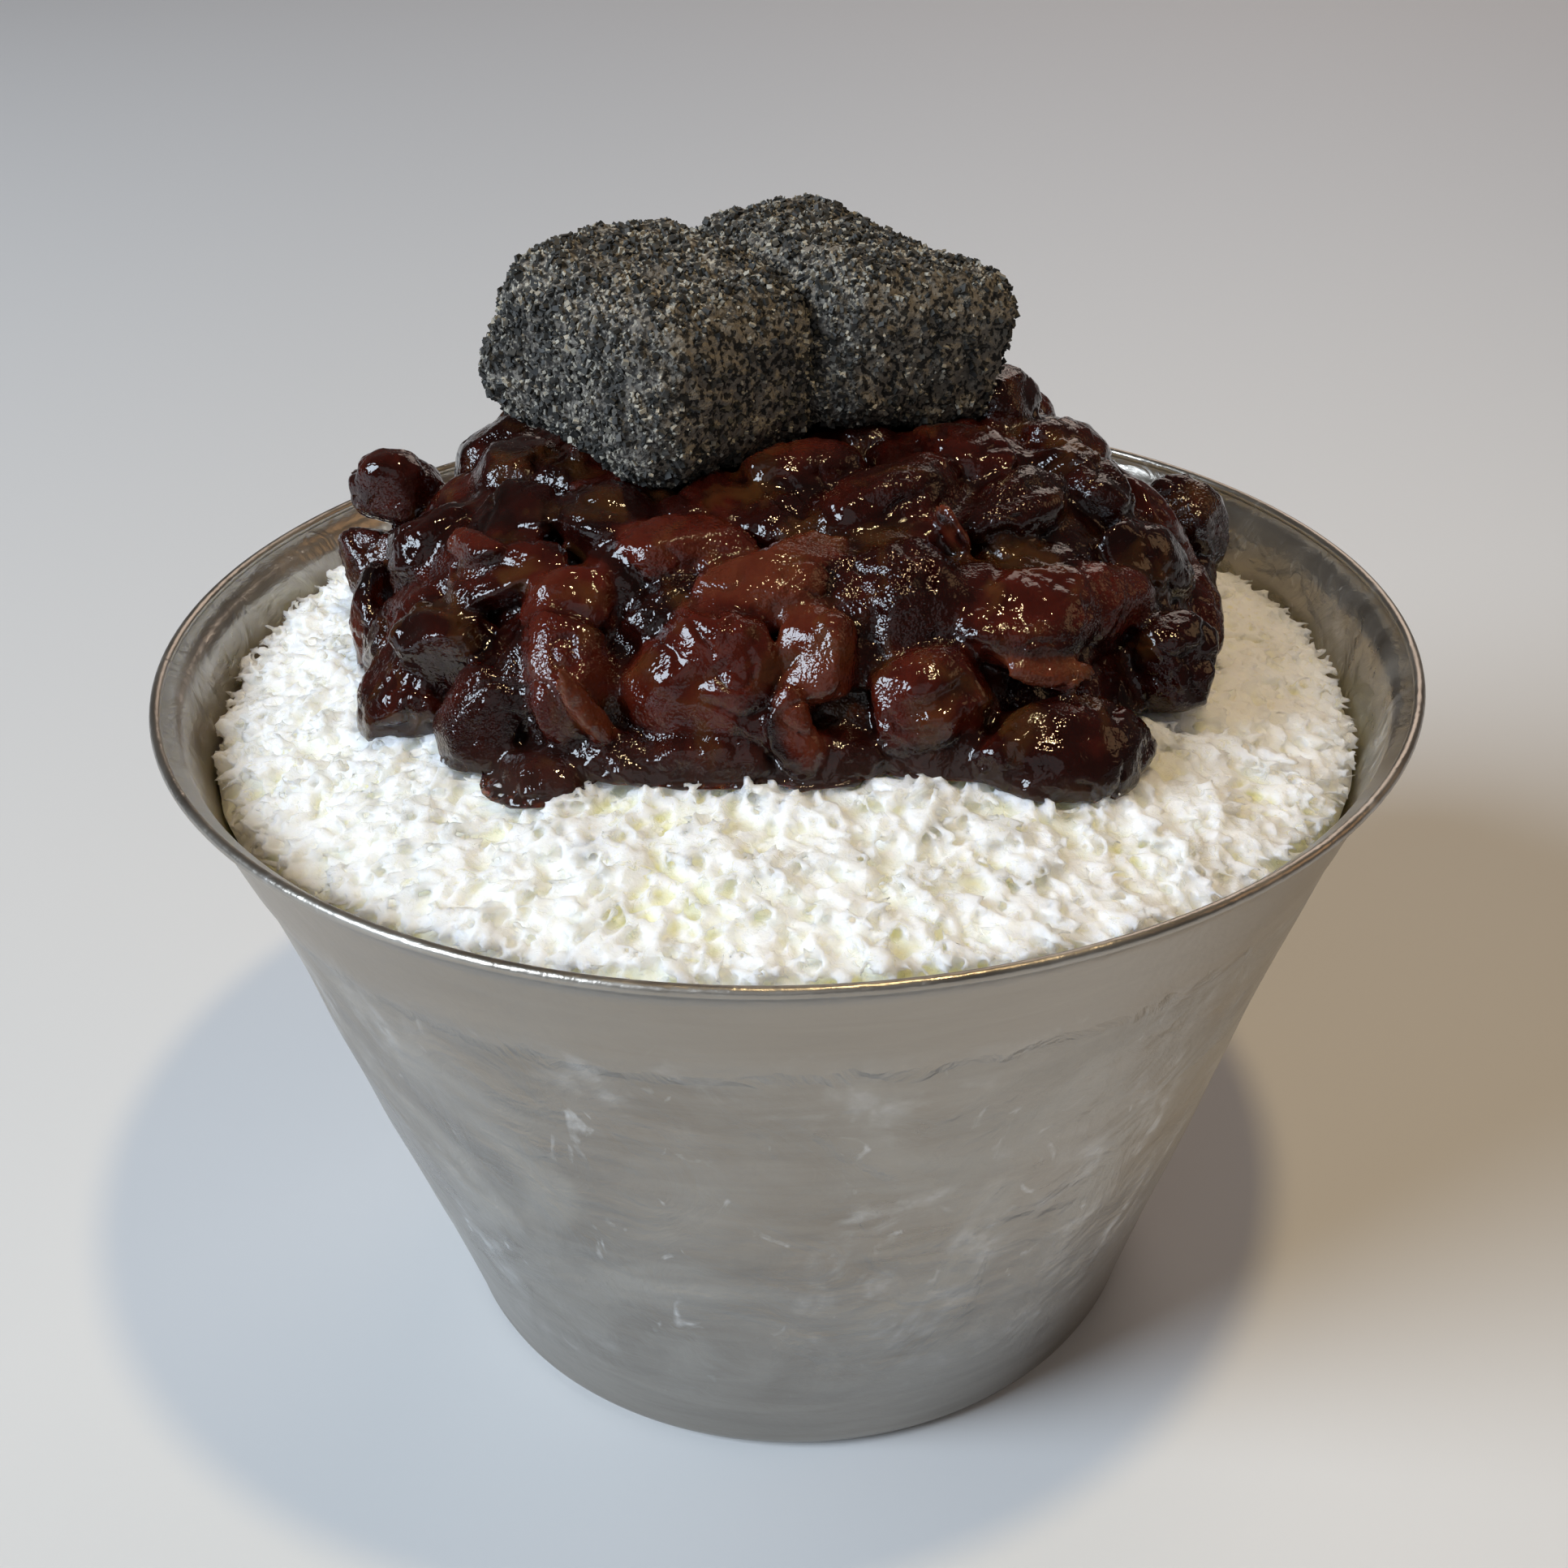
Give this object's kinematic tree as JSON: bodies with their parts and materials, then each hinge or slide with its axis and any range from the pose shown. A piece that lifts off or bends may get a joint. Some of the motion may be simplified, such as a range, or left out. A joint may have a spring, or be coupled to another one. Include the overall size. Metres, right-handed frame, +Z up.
{
  "type": "bingsu",
  "caption": "Shaved milk ice in a tapered metal bowl, topped with a mound of sweet red beans and rice cakes rolled in black sesame powder.",
  "frame": {"origin": "middle of the underside of the bowl, which is the bottom middle of the whole object's box", "axes": "+Z up along the bowl's axis, -Y towards the serving side, +X to the right seen from there"},
  "size_m": [0.12, 0.12, 0.1114],
  "materials": {
    "bowl_metal": "satin, frosted by the cold",
    "milk_ice": "fluffy frozen milk",
    "sweet_beans": "wet syrup over soft beans",
    "sesame_cake": "black sesame powder"
  },
  "bodies": {
    "root": {"bowl": "bowl_metal", "shaved_ice": "milk_ice", "red_beans": "sweet_beans", "rice_cake_left": "sesame_cake", "rice_cake_right": "sesame_cake"}
  },
  "joints": []
}
